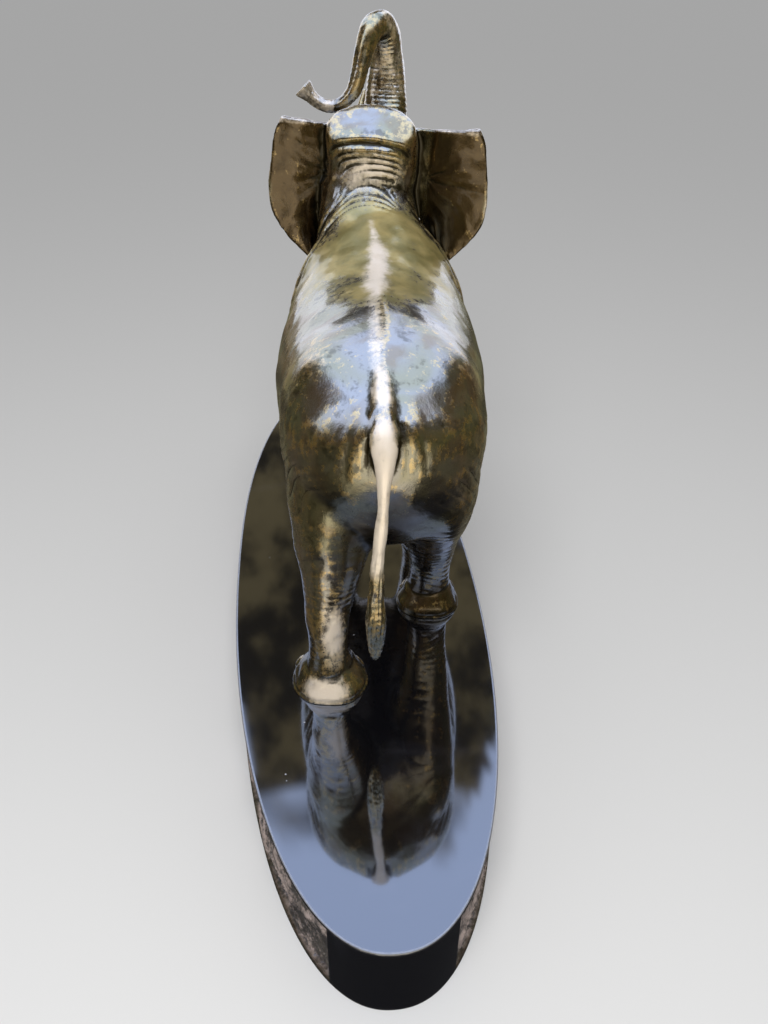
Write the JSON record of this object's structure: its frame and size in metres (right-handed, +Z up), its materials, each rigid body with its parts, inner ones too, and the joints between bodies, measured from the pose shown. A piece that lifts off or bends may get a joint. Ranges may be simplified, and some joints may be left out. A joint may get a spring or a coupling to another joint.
{
  "type": "elephant sculpture",
  "caption": "Bronze elephant striding with its trunk raised in a curl and its ears spread, on a long oval black marble base with rough-hewn flanks.",
  "frame": {"origin": "centre of the marble base's flat underside", "axes": "+Z up, +Y along the base, the way the elephant walks, +X to the elephant's right"},
  "size_m": [0.1901, 0.6, 0.4128],
  "materials": {
    "patinated_bronze": "cast bronze with a mottled olive and brown patina, rubbed to gold on its ridges and waxed to a gloss",
    "black_marble": "black marble, mirror polished on top and at the ends, broken rough along both flanks"
  },
  "bodies": {
    "root": {"elephant": "patinated_bronze", "marble_base": "black_marble"}
  },
  "joints": []
}
